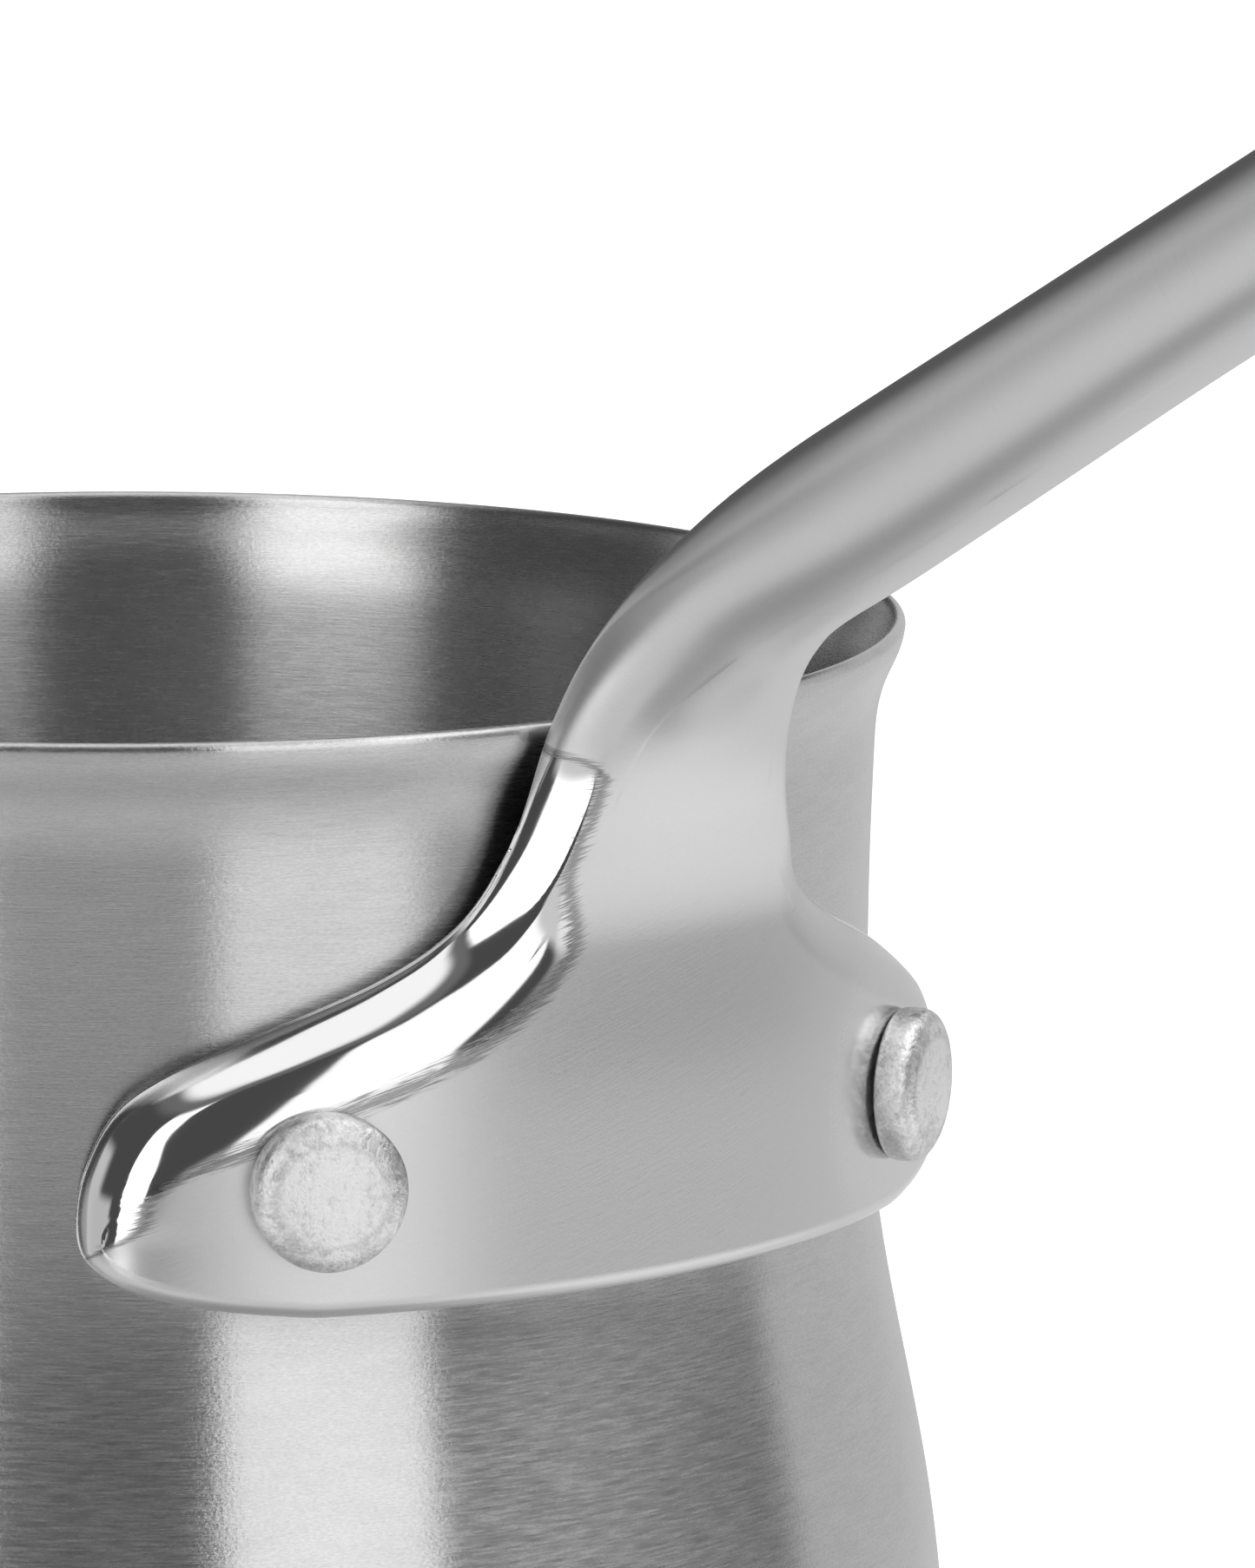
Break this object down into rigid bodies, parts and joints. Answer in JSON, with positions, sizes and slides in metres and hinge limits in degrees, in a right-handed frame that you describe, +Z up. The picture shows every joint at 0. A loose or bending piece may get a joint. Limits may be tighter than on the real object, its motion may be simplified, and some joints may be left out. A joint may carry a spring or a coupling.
{
  "type": "turkish coffee pot",
  "caption": "Small brushed steel coffee pot (cezve) with a flared rim, side pouring lip and a long upswept cast handle riveted on with a lobed bracket; hanging slot in the handle end.",
  "frame": {"origin": "centre of the flat foot, on the pot's own axis, where the pot stands", "axes": "+Z up along the pot axis; +X from the pot axis towards the handle, so the XZ plane is the handle's mid plane; the pouring lip points along -Y"},
  "size_m": [0.2112, 0.0942, 0.166],
  "materials": {
    "pot_steel": "fine brush lines round the pot axis",
    "core_aluminium": "plain rolled",
    "cap_steel": "turned and brushed",
    "handle_steel": "satin faces, mirror-polished shoulders and edges",
    "rivet_steel": "tumbled, matt and slightly pitted"
  },
  "bodies": {
    "root": {"pot_body": "pot_steel", "base_core": "core_aluminium", "base_cap": "cap_steel", "handle": "handle_steel", "rivet_right": "rivet_steel", "rivet_left": "rivet_steel"}
  },
  "joints": []
}
